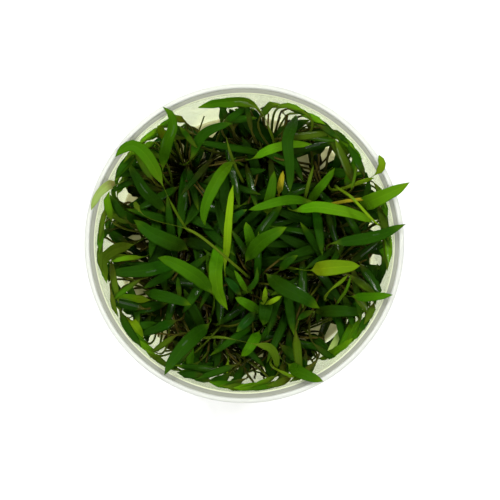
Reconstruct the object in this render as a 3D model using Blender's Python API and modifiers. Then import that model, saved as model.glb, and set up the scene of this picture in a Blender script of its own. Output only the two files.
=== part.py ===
"""Cryptocoryne lucens raised in a clear growing cup, lid off.

The cup holds a bed of nutrient gel, plant crowns that are rooted in the gel, and leaves on long stalks
that crowd up to the rim. The origin is the centre of the cup's base, +Z is up, and +Y is the top of the
picture that the leaves were placed from.
"""

import math
import random

import bmesh
import bpy
import numpy as np
from mathutils import Vector
from mathutils.bvhtree import BVHTree

MM = 0.001
GAP = 0.3 * MM
MERGE = 0.01 * MM

# Cup: a tapered clear wall, a ledge for the lid just inside the rim, and a flat base
RIM_RADIUS = 48 * MM
CUP_HEIGHT = 58 * MM
BASE_RADIUS = 41.6 * MM
WALL = 0.9 * MM
FLOOR = 1.2 * MM
CORNER = 0.8 * MM
BEAD_WIDTH = 1.4 * MM
BEAD_DEPTH = 3.4 * MM
LEDGE_HEIGHT = 55.8 * MM
LEDGE_WIDTH = 1.6 * MM
ROUND = 0.4 * MM
NECK_RADIUS = RIM_RADIUS - BEAD_WIDTH - LEDGE_WIDTH + WALL
CUP_STEPS = 48

# Gel: fills the bottom of the cup and creeps up the wall at its edge
GEL_TOP = 12 * MM
MENISCUS = 0.8 * MM
MENISCUS_WIDTH = 2.5 * MM

# Crowns: where each plant stands in the gel, as seen from above, in millimetres
CROWN_PLACES = (
    (2, -11),
    (-20, 4),
    (-23, -13),
    (-17, 21),
    (6, 25),
    (23, 14),
    (24, -9),
    (13, -27),
    (-10, -27),
)
CROWN_RADIUS = 2.3 * MM
CROWN_TOP = GEL_TOP + 5 * MM
CROWN_NECK = 0.45 * CROWN_RADIUS
CROWN_SHOULDER = 0.9 * CROWN_RADIUS
SHOULDER_HEIGHT = GEL_TOP + 2 * MM
ROOT_TOP = GEL_TOP - 1 * MM
ROOT_TIP = 4.5 * MM
ROOT_TIP_RADIUS = 0.35 * CROWN_RADIUS
CROWN_STEPS = 8

# Leaves: a stalk of rhombic section that opens into a shallow channelled blade
STALK = 0.42 * MM
STALK_RISE = 0.32 * MM
BLADE_THICKNESS = 0.42 * MM
CHANNEL = 0.28
OPENING = 1 * MM
LEAF_GAP = 0.28 * MM
STALK_STATIONS = 3
BLADE_STATIONS = (0.0, 0.13, 0.3, 0.5, 0.7, 0.87)
WIDEST_EARLY = 0.8
BLUNTNESS = 0.7
LOW_STALK_STATIONS = 2
LOW_BLADE_STATIONS = (0.0, 0.25, 0.55, 0.85)

# The picture's eye point is this high above the rim, so deeper points are drawn closer to the middle
EYE_HEIGHT = 550 * MM

# Where the pale gel shows between the leaves: x, y and radius of each opening, as seen from above
CLEARINGS = (
    (-11.5, 37.5, 3.6),
    (5.7, 43.0, 1.8),
    (9.3, 36.0, 2.4),
    (25.0, 27.5, 1.5),
    (17.8, 24.5, 1.8),
    (37.5, 23.5, 1.6),
    (-35.5, 13.8, 1.6),
    (-31.5, 2.8, 1.2),
    (-39.5, -1.5, 1.6),
    (-36.5, -10.7, 1.4),
    (-31.5, -14.0, 1.2),
    (-14.0, 24.0, 1.2),
    (-18.5, 28.0, 1.2),
    (-26.0, -28.5, 1.6),
    (-22.5, -34.5, 1.4),
    (-4.0, -33.5, 1.6),
    (3.5, -38.5, 2.0),
    (20.5, -25.5, 1.6),
    (26.5, -26.5, 1.4),
    (38.5, 4.8, 1.2),
    (39.2, -4.5, 1.2),
)

# Upper leaves, from the topmost down. A row has the leaf's colour, its width, the heights it passes
# through from its base to its tip, the points it passes over as seen from above, and how many of those
# points are bare stalk. All in millimetres.
UPPER_LEAVES = (
    ("bright", 4.8, (44, 55, 59.6, 60.3, 60.5),
     ((35.2, 11.4), (38.4, 12.8), (43, 14.8), (46, 16.2), (49.7, 18.3)), 0),
    ("lime", 2.4, (47, 53, 58.6, 59.6, 59.8),
     ((30, 16.5), (38, 19.5), (40.2, 21.4), (41.4, 23.2), (40.4, 26.5)), 2),
    ("bright", 3.6, (46, 51, 55, 58.6, 59.6, 60),
     ((-24.5, 23), (-24, 27), (-23, 31), (-21.5, 36), (-22.3, 39), (-24.5, 41)), 0),
    ("bright", 4.0, (40, 47, 54, 58, 59.6, 59.4),
     ((-17.7, 4.8), (-20, 8.5), (-22.5, 13), (-25, 18.5), (-27, 22.5), (-30, 27),
      (-34.5, 29.5), (-38.8, 25.8)), 3),
    ("bright", 3.8, (50, 57.5, 59.8, 60), ((13.5, -36.5), (17, -38.9), (20, -40.2), (23.8, -41.5)), 0),
    ("dark", 4.5, (46, 53, 58, 59.7, 59.8), ((-11, -24.5), (-17, -30), (-22, -36), (-24, -39.7)), 0),
    ("lime", 2.8, (50, 59.2, 60.4, 60.4), ((-39.4, 17.6), (-41.6, 16.8), (-44, 14.4), (-46, 9.8)), 0),
    ("mid", 3.6, (46, 51, 55, 58.8, 59.7), ((27, 0.1), (35, 1.2), (40.5, 2.3), (44, 3.8), (48.5, 5.8)), 0),
    ("bright", 2.8, (48, 55, 59.3, 59.6), ((33, -16), (37, -16.1), (41.5, -15.8), (44.6, -15.5)), 0),
    ("olive", 1.8, (40, 50, 55, 55.5, 55, 53, 50),
     ((0.7, -10.3), (-4.5, -5), (-8.5, -1.5), (-14, 2.5), (-18, 5), (-24, 6.6),
      (-28.5, 7.8), (-31.5, 9.8), (-33, 12.5)), 7),
    ("lime", 2.5, (46, 51, 53, 53.5, 53, 51),
     ((-5.8, -6), (-5.2, 0), (-5, 4), (-4.6, 8.4), (-4, 14), (-3.4, 17.5)), 0),
    ("bright", 4.6, (41, 46.5, 49, 49.5, 47, 44),
     ((-6.4, 1.5), (-8, -4), (-8.6, -8), (-8.4, -11.5), (-7.7, -15), (-5, -20)), 0),
    ("bright", 3.8, (44, 50, 52, 52, 50, 48),
     ((-3.7, 24), (-6.5, 21.5), (-9, 17.5), (-11.3, 12.5), (-12.2, 8), (-11.8, 5.2)), 0),
    ("mid", 3.6, (40, 50, 54, 54, 52), ((15.5, 38.5), (14, 34), (12.8, 29), (13.7, 23.5), (13.6, 15)), 0),
    ("bright", 2.9, (43, 48, 49, 48.5, 47), ((3.2, 25.8), (8, 28.2), (13, 29.5), (20.3, 29.7)), 0),
    ("bright", 3.8, (42, 50, 52.5, 53, 53),
     ((8.5, 31), (5.5, 39), (4, 40.5), (0, 42.6), (-4, 42.3), (-10, 43), (-14, 41)), 2),
    ("bright", 4.6, (44, 50, 52, 52, 49),
     ((-10, -14.5), (-14.5, -9.8), (-17.5, -8), (-22, -5.5), (-26, -4.3)), 0),
    ("lime", 4.8, (46, 51.5, 52, 51), ((20.5, -8), (25, -7.4), (30, -7), (34.8, -6.8)), 0),
    ("bright", 3.6, (43, 49, 51.5, 51, 48), ((15.5, 9.9), (22, 10.9), (30, 9.4), (34, 8.5), (38.8, 6)), 0),
    ("mid", 3.0, (42, 47, 49, 49, 47), ((19.5, 12.6), (13, 13), (9, 12.2), (5, 11), (1.2, 10)), 0),
    ("bright", 2.8, (42, 48, 50, 51), ((19.2, 12), (22, 16), (25.3, 20), (27.2, 22.8)), 0),
    ("bright", 3.2, (40, 45, 47, 46), ((6.9, 9.2), (7, 11), (8.3, 17), (9, 21.8)), 0),
    ("bright", 4.6, (38, 44, 47, 46), ((0.6, -5), (5, 0.5), (9, 3), (12.7, 4.9)), 0),
    ("lime", 3.6, (42, 49, 50, 47), ((-34.9, -22.6), (-34, -23.8), (-32.5, -25.6), (-30.3, -28.4)), 0),
    ("bright", 3.6, (42, 49, 53, 54), ((23.5, -35.5), (27, -33.6), (30.5, -31.5), (33.5, -29.3)), 0),
    ("bright", 2.4, (40, 46, 48, 48), ((30, -25), (27.8, -28.8), (26.5, -31), (24.2, -34.5)), 0),
    ("olive", 2.6, (42, 47, 50, 50, 49, 46),
     ((-11, -28.5), (-5, -28.3), (1, -29.4), (4, -30.4), (8, -31.5), (9.2, -33.5),
      (9.8, -37.5)), 3),
    ("bright", 3.4, (38, 43, 44, 42), ((4.2, -26.8), (2.6, -29.6), (1, -32), (-1, -33.8)), 0),
    ("bright", 5.0, (40, 46, 48, 45), ((7, -9.5), (12, -13.5), (18, -16.5), (22.5, -19.5)), 0),
    ("mid", 3.6, (38, 43, 47, 48), ((-23.7, 9.7), (-27, 13), (-31, 17), (-33, 21), (-36, 25)), 0),
    ("mid", 3.1, (40, 45, 47, 46), ((-15.8, 26), (-12.5, 32.5), (-8, 35), (-3.5, 36)), 0),
    ("dark", 4.8, (38, 42, 44, 43), ((10.4, 29.4), (5, 33), (1, 36.5), (-2.8, 40)), 0),
    ("mid", 5.0, (36, 42, 44, 42), ((-17.5, -1.5), (-22, 0.4), (-27, 2.5), (-33.3, 7.2)), 0),
    ("dark", 4.3, (34, 40, 43, 43), ((-32, 5.2), (-35.5, 7.5), (-39, 9.6), (-42, 11)), 0),
    ("mid", 4.2, (38, 44, 47, 46), ((-19, -5.8), (-25, -7), (-30, -8.2), (-36, -8.6), (-41.5, -9)), 0),
    ("mid", 3.6, (40, 47, 51, 51), ((-34, -0.5), (-40, -2.5), (-43, -6), (-43.4, -12)), 0),
    ("lime", 1.7, (40, 45, 46), ((-31.5, -4.2), (-36.5, -4.6), (-40, -5.5)), 0),
    ("lime", 2.6, (40, 46, 49), ((-29, -17), (-35, -16.4), (-40, -15.7)), 0),
    ("bright", 3.6, (38, 43, 44, 42), ((-29.5, -14.6), (-24, -16), (-20, -17), (-16, -18.5)), 0),
    ("mid", 3.4, (36, 41, 45), ((-24, -18.2), (-30, -19.3), (-38.3, -20.8)), 0),
    ("dark", 3.6, (36, 46, 50, 50), ((41.2, -15), (42.3, -11), (43, -7.5), (43.3, -2.7)), 0),
    ("dark", 3.8, (36, 42, 45, 45), ((21.5, -20.5), (26, -20.3), (32, -20.4), (38, -21)), 0),
    ("mid", 3.4, (34, 39, 40, 39), ((2.4, -2), (1.8, 1), (1, 4), (0.4, 6.4)), 0),
    ("dark", 3.2, (34, 39, 41, 41), ((5.2, 16.5), (3.8, 21), (2.2, 26), (-0.8, 32)), 0),
    ("mid", 2.9, (38, 43, 45), ((31.4, 27.5), (31.6, 31), (31, 34)), 0),
    ("mid", 3.1, (34, 38, 39, 38), ((4.8, -20.8), (1, -18.2), (-0.8, -17.2), (-2.8, -16.2)), 0),
    ("bright", 4.6, (34, 39, 40, 38), ((7, -16.5), (6.6, -18.8), (6.2, -21.2), (5.6, -24.6)), 0),
    ("dark", 4.0, (34, 39, 41, 41), ((28, 19.5), (28.6, 24), (29, 28.5), (29.5, 32.5)), 0),
    ("mid", 3.1, (34, 41, 43, 43), ((5, -40.3), (8, -41), (11, -41), (14.5, -40.2)), 0),
)

# Low leaves that are part of a crown: the same kind of rows, for the ones that show between the others
LOW_LEAVES = (
    (4.1, (24, 31, 33), ((-24, 21), (-26, 27), (-29, 32))),
    (4.8, (22, 28, 30), ((-20.5, 16), (-22.5, 22), (-24, 29))),
    (2.1, (26, 36, 38), ((-33, 14), (-38.5, 17), (-38, 23))),
    (4.1, (24, 30, 32), ((-33, 3.5), (-38, 4), (-42, 3))),
    (3.4, (22, 28, 29), ((-22, -10), (-27, -12), (-31.5, -13.8))),
    (3.4, (22, 28, 29), ((-14, -29), (-20, -29.5), (-27, -30))),
    (4.6, (22, 28, 30), ((-8, -30), (-10.5, -33.5), (-12, -38))),
    (4.6, (22, 28, 30), ((15, -30), (18, -33.5), (21, -37))),
    (3.2, (22, 28, 29), ((19, -27.6), (23, -30), (26, -32.2))),
    (3.0, (24, 29, 30), ((27, -16), (31.5, -17), (36, -18.2))),
    (3.9, (22, 27, 29), ((33, -5), (37, -8.5), (39, -13.5))),
    (3.9, (22, 27, 29), ((26, -3), (31, -1.5), (36, 0))),
    (4.1, (22, 28, 30), ((16, 30), (16.8, 33.5), (17, 37.5))),
    (3.0, (24, 30, 32), ((29.5, 19.5), (33, 23), (36.5, 26))),
    (3.9, (20, 26, 27), ((15, 6), (19, 2.5), (24, 0))),
    (3.4, (22, 27, 28), ((-2, -10.5), (-4.2, -12), (-7, -10))),
)

# The other low leaves fan out from their crowns
LOW_WIDTH = 3.4 * MM
LOW_WIDTHS = (0.7, 1.1)
LOW_TIP_HEIGHTS = (22 * MM, 33 * MM)
LOW_REACH = (9 * MM, 15 * MM)
FAN_TURN = math.radians(137.5)
FAN_BASE = (0.3, 0.55)
FAN_MIDDLE = (0.7, 0.97)
FAN_TIP = (1.1, 1.0)
LEAVES_PER_CROWN = 6
LOW_SEED = 11

# How the search for a clear way up through the other leaves may bend a stalk or lower a leaf
UPPER_TRIES = 420
TRIES_PER_DROP = 12
TRIES_PER_CROWN = 60
OTHER_CROWNS = 3
TRIES_TO_FULL_SWAY = 40
CLEARING_TRIES = 294
LOW_ROUNDS = 160
LOW_TRIES = 40
LOW_TRIES_TO_FULL_SWAY = 20
SWAY = 5 * MM
LOW_SWAY = 3 * MM
DROP_STEP = 0.5 * MM
LONGEST_DROP = 9 * MM
LOW_DROP_STEP = 0.25 * MM
LONGEST_LOW_DROP = 4 * MM
ROLL = 0.3
TURNED_AWAY = 8 * MM
FOOT_SPREAD = 1.4
FOOT_HEIGHT = 1.2 * MM
LOW_FOOT = 0.35 * CROWN_RADIUS
LOW_FOOT_HEIGHT = CROWN_TOP - GEL_TOP - 2 * MM
JOINED = 1.5 * MM
WALL_LEAN_FROM = 34 * MM
WALL_LEAN = 0.9
WALL_ROOM = 0.6

# The curve of a stalk: how far its ends pull it, and the points along it and along the blade
PULL = 0.42
START_LEAN = 0.35
END_RISE = 0.9
STALK_POINTS = 30
BLADE_POINTS = 60

COLOURS = {
    "bright": (0.07, 0.30, 0.01),
    "lime": (0.27, 0.42, 0.03),
    "mid": (0.04, 0.18, 0.01),
    "dark": (0.015, 0.08, 0.01),
    "olive": (0.16, 0.20, 0.02),
    "crown": (0.03, 0.10, 0.01),
    "gel": (0.66, 0.62, 0.47),
    "cup": (0.86, 0.88, 0.86),
}
LEAF_ROUGHNESS = 0.35
GEL_ROUGHNESS = 0.15
CUP_ROUGHNESS = 0.08
CUP_ALPHA = 0.35

UP = np.array((0.0, 0.0, 1.0))


def collection(name):
    made = bpy.data.collections.new(name)
    bpy.context.scene.collection.children.link(made)
    return made


def coloured(thing, colour, roughness, alpha=1.0):
    """Give an object its own material."""
    material = bpy.data.materials.new(thing.name)
    material.use_nodes = True
    shader = material.node_tree.nodes["Principled BSDF"]
    shader.inputs["Base Color"].default_value = (*colour, 1)
    shader.inputs["Roughness"].default_value = roughness
    shader.inputs["Metallic"].default_value = 0
    shader.inputs["Alpha"].default_value = alpha
    thing.data.materials.clear()
    thing.data.materials.append(material)


def mesh_object(name, vertices, edges, faces, home):
    mesh = bpy.data.meshes.new(name)
    mesh.from_pydata([tuple(v) for v in vertices], edges, faces)
    thing = bpy.data.objects.new(name, mesh)
    home.objects.link(thing)
    return thing


def turned(name, profile, steps, home):
    """A closed body turned about Z from a profile of (radius, height) that ends down its outer side."""
    edges = [(i, i + 1) for i in range(len(profile) - 1)]
    thing = mesh_object(name, [(r, 0, z) for r, z in profile], edges, [], home)
    screw = thing.modifiers.new("turn", "SCREW")
    screw.steps = steps
    screw.render_steps = steps
    screw.use_merge_vertices = True
    screw.merge_threshold = MERGE
    screw.use_smooth_shade = False
    return thing


def baked(thing):
    """Replace an object's mesh by what its modifiers make of it."""
    bpy.context.view_layer.update()
    graph = bpy.context.evaluated_depsgraph_get()
    mesh = bpy.data.meshes.new_from_object(thing.evaluated_get(graph))
    thing.modifiers.clear()
    thing.data = mesh
    return thing


def combine(thing, other, operation, solver="EXACT"):
    """Join another body to one, or cut it out of it."""
    modifier = thing.modifiers.new(operation.lower(), "BOOLEAN")
    modifier.operation = operation
    modifier.solver = solver
    modifier.object = other
    return baked(thing)


def body_count(mesh):
    """How many separate bodies a mesh has."""
    work = bmesh.new()
    work.from_mesh(mesh)
    waiting = set(work.verts)
    count = 0
    while waiting:
        count += 1
        front = [waiting.pop()]
        while front:
            vertex = front.pop()
            near = {edge.other_vert(vertex) for edge in vertex.link_edges} & waiting
            front += near
            waiting -= near
    work.free()
    return count


def shade_round(thing, degrees):
    thing.data.shade_smooth()
    thing.data.set_sharp_from_angle(angle=math.radians(degrees))


def inner_radius(height):
    """The cup's inside radius at a height."""
    bottom = BASE_RADIUS - WALL
    top = NECK_RADIUS - WALL
    return bottom + (top - bottom) * min(height / LEDGE_HEIGHT, 1)


def cup_profile():
    """Up the inside from the middle of the floor, over the rim, and down the outside."""
    seat = RIM_RADIUS - BEAD_WIDTH
    bead_bottom = CUP_HEIGHT - BEAD_DEPTH
    return (
        (0, FLOOR),
        (inner_radius(FLOOR) - CORNER, FLOOR),
        (inner_radius(FLOOR + CORNER), FLOOR + CORNER),
        (inner_radius(LEDGE_HEIGHT), LEDGE_HEIGHT - ROUND),
        (inner_radius(LEDGE_HEIGHT) + ROUND, LEDGE_HEIGHT),
        (seat, LEDGE_HEIGHT),
        (seat, CUP_HEIGHT - ROUND),
        (seat + ROUND, CUP_HEIGHT),
        (RIM_RADIUS - ROUND, CUP_HEIGHT),
        (RIM_RADIUS, CUP_HEIGHT - ROUND),
        (RIM_RADIUS, bead_bottom),
        (NECK_RADIUS, bead_bottom - ROUND),
        (BASE_RADIUS, CORNER),
        (BASE_RADIUS - CORNER, 0),
        (0, 0),
    )


def gel_profile():
    """Over the top from the middle, up the meniscus, and down beside the wall."""
    bottom = FLOOR + GAP
    top = GEL_TOP + MENISCUS
    return (
        (0, GEL_TOP),
        (inner_radius(top) - MENISCUS_WIDTH, GEL_TOP),
        (inner_radius(top) - GAP, top),
        (inner_radius(bottom + CORNER) - GAP, bottom + CORNER),
        (inner_radius(bottom) - GAP - CORNER, bottom),
        (0, bottom),
    )


def crown_profile(grow=0.0):
    """The short stem above the gel and the root plug in it. A cutter grows by a gap and stands open."""
    top = CROWN_TOP + grow
    return (
        (0, top),
        (CROWN_NECK + grow, top),
        (CROWN_SHOULDER + grow, SHOULDER_HEIGHT),
        (CROWN_RADIUS + grow, ROOT_TOP),
        (ROOT_TIP_RADIUS + grow, ROOT_TIP - grow),
        (0, ROOT_TIP - grow),
    )


def seen_from_above(x, y, height):
    """Where a point at a height has to be, to be seen at x, y from the eye point."""
    scale = (EYE_HEIGHT + CUP_HEIGHT - height) / EYE_HEIGHT
    return np.array((x * scale, y * scale, height))


def unit(vector):
    return vector / max(np.linalg.norm(vector), 1e-9)


def lengths_along(points):
    steps = np.linalg.norm(np.diff(points, axis=0), axis=1)
    return np.concatenate(((0.0,), np.cumsum(steps)))


def smooth_curve(points, count):
    """Points on a smooth curve that passes through the given ones."""
    marks = lengths_along(points)
    slopes = np.gradient(points, marks, axis=0)
    places = np.linspace(0, marks[-1], count)
    spans = np.clip(np.searchsorted(marks, places, side="right") - 1, 0, len(marks) - 2)
    widths = (marks[spans + 1] - marks[spans])[:, None]
    u = (places - marks[spans])[:, None] / widths
    start = (1 + 2 * u) * (1 - u) ** 2 * points[spans] + u * (1 - u) ** 2 * widths * slopes[spans]
    end = u**2 * (3 - 2 * u) * points[spans + 1] + u**2 * (u - 1) * widths * slopes[spans + 1]
    return start + end


def bezier(a, b, c, d, count):
    t = np.linspace(0, 1, count)[:, None]
    return (1 - t) ** 3 * a + 3 * t * (1 - t) ** 2 * b + 3 * t**2 * (1 - t) * c + t**3 * d


def point_at(points, marks, place):
    return np.array([np.interp(place, marks, points[:, axis]) for axis in range(3)])


def blade_shape(u):
    """How much of its full width a blade has at a part of its length."""
    return math.sin(math.pi * u**WIDEST_EARLY) ** BLUNTNESS if 0 < u < 1 else 0.0


def section(half_width, grow):
    """A leaf's cross-section: points across it and above it, round from the left edge."""
    opening = min(max((half_width - STALK) / OPENING, 0), 1)
    lift = CHANNEL * max(half_width - STALK, 0)
    top = STALK_RISE * (1 - opening)
    bottom = -(STALK_RISE * (1 - opening) + BLADE_THICKNESS * opening)
    if not grow:
        return ((half_width, lift), (0, top), (-half_width, lift), (0, bottom))
    reach = half_width + grow
    return (
        (reach, lift - grow),
        (reach, lift + grow),
        (0, top + grow),
        (-reach, lift + grow),
        (-reach, lift - grow),
        (0, bottom - grow),
    )


def split_outward(vertices, quad):
    """The two triangles of a quad that meet in an outward ridge, so a twisted leaf keeps its thickness."""
    a, b, c, d = (vertices[i] for i in quad)
    first, second, third, fourth = quad
    if np.dot(np.cross(b - a, c - a), d - a) < 0:
        return [(first, second, third), (first, third, fourth)]
    return [(first, second, fourth), (second, third, fourth)]


def crosses_itself(vertices, faces):
    """Whether a leaf is bent so tightly that it runs through itself."""
    tree = BVHTree.FromPolygons([Vector(v) for v in vertices], faces)
    return any(not set(faces[a]) & set(faces[b]) for a, b in tree.overlap(tree))


def leaf_mesh(leaf, grow=0.0):
    """Vertices and faces of a leaf, or of the room that it needs round it when it grows by a gap."""
    path, marks = leaf["path"], leaf["marks"]
    start, end = leaf["blade_from"], leaf["marks"][-1]
    stalk_stations, blade_stations = leaf["stations"]
    places = list(np.linspace(0, start, stalk_stations, endpoint=False))
    places += [start + part * (end - start) for part in blade_stations]
    step = end / len(path)
    tangents = [unit(point_at(path, marks, p + step) - point_at(path, marks, p - step)) for p in places]
    sides = [None] * len(places)
    opened = stalk_stations + 1
    for i in range(opened, len(places)):
        centre = point_at(path, marks, places[i])
        outward = unit(centre * (1, 1, 0))
        radius = math.hypot(centre[0], centre[1])
        lean = WALL_LEAN * min(max((radius - WALL_LEAN_FROM) / (RIM_RADIUS - WALL_LEAN_FROM), 0), 1)
        if leaf["over_rim"]:
            lean = 0
        level = unit(np.cross(UP - lean * outward, tangents[i]))
        above = np.cross(tangents[i], level)
        sides[i] = math.cos(leaf["roll"]) * level + math.sin(leaf["roll"]) * above
    for i in range(opened - 1, -1, -1):
        flat = sides[i + 1] - tangents[i] * np.dot(sides[i + 1], tangents[i])
        sides[i] = unit(flat)
    vertices = []
    for i, place in enumerate(places):
        part = (place - start) / (end - start)
        half_width = STALK + (leaf["width"] / 2 - STALK) * blade_shape(part)
        centre = point_at(path, marks, place)
        above = np.cross(tangents[i], sides[i])
        for across, height in section(half_width, grow):
            vertices.append(centre + sides[i] * across + above * height)
    vertices.append(path[-1] + unit(path[-1] - path[-2]) * grow)
    count = len(section(STALK, grow))
    rings = len(places)
    faces = [tuple(reversed(range(count)))]
    for ring in range(rings - 1):
        for i in range(count):
            a, b = ring * count + i, ring * count + (i + 1) % count
            faces += split_outward(vertices, (a, b, b + count, a + count))
    last = (rings - 1) * count
    faces += [(last + i, last + (i + 1) % count, len(vertices) - 1) for i in range(count)]
    return vertices, faces


class Room:
    """The space in the cup, and what already stands in it."""

    def __init__(self):
        self.placed = []

    def add(self, name, vertices, faces):
        points = np.array([tuple(v) for v in vertices])
        tree = BVHTree.FromPolygons([Vector(v) for v in points], faces)
        self.placed.append((name, points.min(axis=0), points.max(axis=0), tree))

    def add_object(self, thing):
        bpy.context.view_layer.update()
        graph = bpy.context.evaluated_depsgraph_get()
        mesh = thing.evaluated_get(graph).to_mesh()
        vertices = [thing.matrix_world @ v.co for v in mesh.vertices]
        self.add(thing.name, vertices, [tuple(p.vertices) for p in mesh.polygons])

    def is_free(self, vertices, faces, apart_from=()):
        points = np.array(vertices)
        low, high = points.min(axis=0), points.max(axis=0)
        if low[2] < GEL_TOP + LEAF_GAP:
            return False
        tree = None
        for name, their_low, their_high, their_tree in self.placed:
            if name in apart_from or (low > their_high).any() or (high < their_low).any():
                continue
            if tree is None:
                tree = BVHTree.FromPolygons([Vector(v) for v in points], faces)
            if tree.overlap(their_tree):
                return False
        return True


def inside_wall(path, half_width):
    """Hold a path inside the cup, except where it is high enough to pass over the rim."""
    held = path.copy()
    for point in held:
        if point[2] > CUP_HEIGHT + ROUND:
            continue
        most = inner_radius(point[2]) - half_width
        radius = math.hypot(point[0], point[1])
        if radius > most:
            point[:2] *= most / radius
    return held


def blocks_clearing(path):
    """Whether a path shows in one of the openings through which the gel is seen."""
    scale = EYE_HEIGHT / (EYE_HEIGHT + CUP_HEIGHT - path[:, 2])
    seen = path[:, :2] * scale[:, None] / MM
    return any((np.hypot(*(seen - (x, y)).T) < radius).any() for x, y, radius in CLEARINGS)


def leaf_path(points, bare, crown, start, bend_in, bend_out):
    """The whole way of a leaf: up the stalk from its crown, then over the given points."""
    upper = smooth_curve(points, BLADE_POINTS)
    direction = unit(upper[3] - upper[0])
    rise = unit(direction + UP * END_RISE)
    reach = PULL * np.linalg.norm(points[0] - start)
    outward = unit((start - crown) * (1, 1, 0))
    first = start + unit(UP + START_LEAN * outward) * reach + bend_in
    second = points[0] - rise * reach + bend_out
    stalk = bezier(start, first, second, points[0], STALK_POINTS)
    path = np.concatenate((stalk[:-1], upper))
    marks = lengths_along(path)
    blade_from = marks[len(stalk) - 1]
    if bare:
        nearest = np.argmin(np.linalg.norm(path - points[bare], axis=1))
        blade_from = marks[nearest]
    return path, blade_from


def crown_centre(place):
    return seen_from_above(place[0] * MM, place[1] * MM, GEL_TOP)


def make_leaf(path, blade_from, width, roll, stations, over_rim=False):
    return {
        "path": path,
        "marks": lengths_along(path),
        "blade_from": blade_from,
        "width": width,
        "roll": roll,
        "stations": stations,
        "over_rim": over_rim,
    }


def blade_points(heights, places, drop):
    """The points of a leaf in space, from where they are seen and the heights it passes through."""
    plan = np.array(places, dtype=float) * MM
    marks = lengths_along(plan)
    parts = marks / marks[-1]
    steps = parts if len(heights) == len(places) else np.linspace(0, 1, len(heights))
    levels = np.interp(parts, steps, np.array(heights, dtype=float) * MM) - drop
    return np.array([seen_from_above(x, y, z) for (x, y), z in zip(plan, levels)])


def place_upper_leaf(row, number, room):
    """Find a way for one upper leaf: the blade where it is seen, the stalk clear of everything else."""
    colour, width, heights, places, bare = row
    half_width = width * MM / 2
    over_rim = max(heights) * MM > CUP_HEIGHT
    chance = random.Random(number)
    crowns = [crown_centre(place) for place in CROWN_PLACES]
    base = blade_points(heights, places, 0)
    heading = unit((base[1] - base[0]) * (1, 1, 0))

    def cost(crown):
        across = (base[0] - crown) * (1, 1, 0)
        distance = np.linalg.norm(across)
        return distance + TURNED_AWAY * (1 - np.dot(unit(across), heading))

    crowns.sort(key=cost)
    stations = STALK_STATIONS + (1 if bare else 0)
    for attempt in range(UPPER_TRIES):
        other = min(attempt // TRIES_PER_CROWN, OTHER_CROWNS)
        crown = crowns[other] if attempt % 2 else crowns[0]
        drop = 0 if over_rim else min((attempt // TRIES_PER_DROP) * DROP_STEP, LONGEST_DROP)
        points = blade_points(heights, places, drop)
        roll = ROLL * chance.uniform(-1, 1)
        toward = math.atan2(*(points[0] - crown)[[1, 0]])
        azimuth = toward + chance.uniform(-FOOT_SPREAD, FOOT_SPREAD)
        foot = CROWN_RADIUS + GAP + 2 * STALK
        start = crown + np.array((math.cos(azimuth) * foot, math.sin(azimuth) * foot, FOOT_HEIGHT))
        sway = min(attempt / TRIES_TO_FULL_SWAY, 1) * SWAY
        bend_in, bend_out = [np.array([chance.uniform(-sway, sway) for _ in range(3)]) for _ in range(2)]
        path, blade_from = leaf_path(points, bare, crown, start, bend_in, bend_out)
        path = inside_wall(path, WALL_ROOM * half_width + LEAF_GAP)
        stalk_end = len(path) - BLADE_POINTS
        if attempt < CLEARING_TRIES and blocks_clearing(path[:stalk_end]):
            continue
        leaf = make_leaf(path, blade_from, width * MM, roll, (stations, BLADE_STATIONS), over_rim)
        if room.is_free(*leaf_mesh(leaf, LEAF_GAP)) and not crosses_itself(*leaf_mesh(leaf)):
            return leaf
    return None


def clear_of_crown(vertices, faces, crown):
    """The part of a low leaf's room that lies outside its own crown."""
    radii = [math.hypot(v[0] - crown[0], v[1] - crown[1]) for v in vertices]
    return [face for face in faces if min(radii[i] for i in face) > CROWN_RADIUS + JOINED]


def place_low_leaf(points, width, crown, name, chance, room):
    """Try to grow one low leaf from a crown. Nothing is returned if there is no room for it."""
    for attempt in range(LOW_TRIES):
        lowered = points - UP * min(attempt * LOW_DROP_STEP, LONGEST_LOW_DROP)
        sway = min(attempt / LOW_TRIES_TO_FULL_SWAY, 1) * LOW_SWAY
        bends = [np.array([chance.uniform(-sway, sway) for _ in range(3)]) for _ in range(2)]
        toward = unit((lowered[0] - crown) * (1, 1, 0))
        start = crown + toward * LOW_FOOT + UP * LOW_FOOT_HEIGHT
        path, blade_from = leaf_path(lowered, 0, crown, start, *bends)
        path = inside_wall(path, WALL_ROOM * width / 2 + LEAF_GAP)
        if blocks_clearing(path):
            continue
        stations = (LOW_STALK_STATIONS, LOW_BLADE_STATIONS)
        leaf = make_leaf(path, blade_from, width, ROLL * chance.uniform(-1, 1), stations)
        vertices, faces = leaf_mesh(leaf, LEAF_GAP)
        outer = clear_of_crown(vertices, faces, crown)
        same_plant = [other for other, *_ in room.placed if other.startswith(name)]
        if not room.is_free(vertices, faces, same_plant):
            continue
        if outer and room.is_free(vertices, outer, (name,)) and not crosses_itself(*leaf_mesh(leaf)):
            return leaf
    return None


def low_leaf_points(crown, azimuth, reach, tip_height):
    """Base, middle and tip of a low leaf that fans out from its crown."""
    across = np.array((math.cos(azimuth), math.sin(azimuth), 0))
    rise = tip_height - crown[2]
    parts = (FAN_BASE, FAN_MIDDLE, FAN_TIP)
    return np.array([crown + across * out * reach + UP * up * rise for out, up in parts])


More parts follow.
